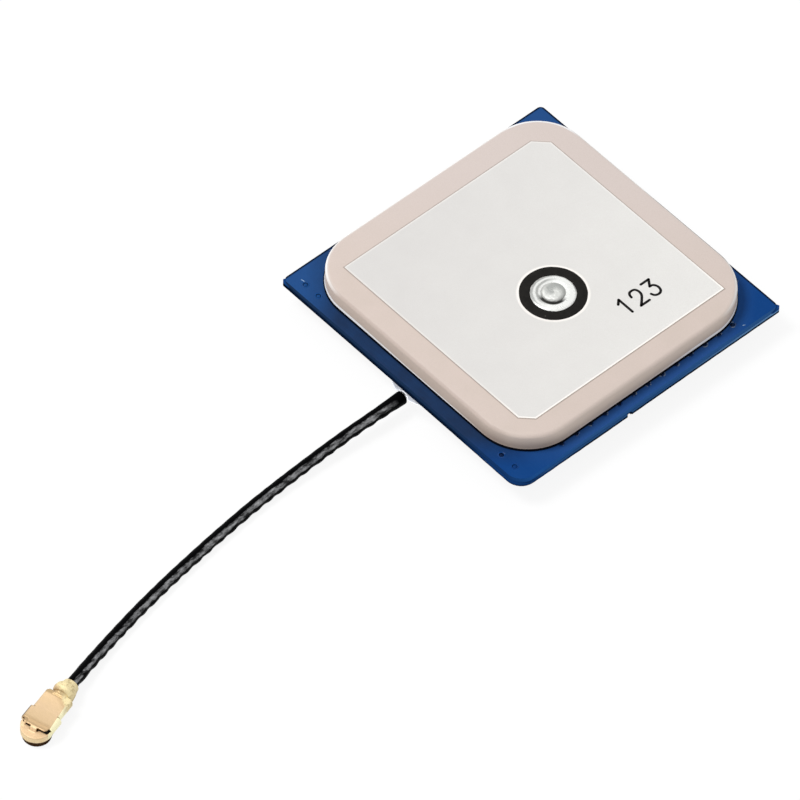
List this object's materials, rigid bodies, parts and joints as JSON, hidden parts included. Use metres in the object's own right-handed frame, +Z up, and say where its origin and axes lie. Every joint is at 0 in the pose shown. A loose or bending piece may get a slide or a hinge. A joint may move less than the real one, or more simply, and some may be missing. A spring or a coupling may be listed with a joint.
{
  "type": "gps patch antenna",
  "caption": "Square ceramic patch antenna on a circuit board with a shield can, and a short thin coaxial lead to a push-on plug.",
  "frame": {"origin": "middle of the shield can's underside, on the surface that the antenna rests on", "axes": "+Z up through the ceramic's silver face, -Y over the board's edge where the lead leaves, +X to the right seen from the lead's side"},
  "size_m": [0.0268, 0.0695, 0.0049],
  "materials": {
    "fired_ceramic": "fired, satin",
    "fired_silver": "matt fired silver",
    "adhesive": "matt",
    "resist": "printed, satin",
    "tinned_pin": "tinned, polished",
    "solder": "bright solder",
    "board": "solder mask, gloss",
    "copper_land": "gilded copper",
    "moulding": "matt moulding",
    "saw_package": "gilded lid on ceramic",
    "chip_capacitor": "satin, tinned ends",
    "chip_resistor": "satin, tinned ends",
    "chip_inductor": "satin, tinned ends",
    "tinned_sheet": "tinned, satin",
    "jacket": "extruded, half gloss",
    "braid": "tinned strands",
    "dielectric": "smooth, white",
    "lead_core": "silvered copper strand",
    "plug_gold": "gold plated",
    "plug_moulding": "satin moulding"
  },
  "bodies": {
    "root": {"ceramic_substrate": "fired_ceramic", "patch_electrode": "fired_silver", "ground_electrode": "fired_silver", "adhesive_pad": "adhesive", "resist_ring": "resist", "feed_pin": "tinned_pin", "feed_solder": "solder", "circuit_board": "board", "board_lands": "copper_land", "pin_solder": "solder", "first_amplifier": "moulding", "second_amplifier": "moulding", "saw_filter": "saw_package", "capacitors": "chip_capacitor", "resistors": "chip_resistor", "inductors": "chip_inductor", "shield_can": "tinned_sheet", "can_solder": "solder", "braid_solder": "solder", "core_solder": "solder", "coax_jacket": "jacket", "coax_braid": "braid", "coax_dielectric": "dielectric", "coax_core": "lead_core", "plug_shell": "plug_gold", "plug_insulator": "plug_moulding", "plug_contact": "plug_gold"}
  },
  "joints": []
}
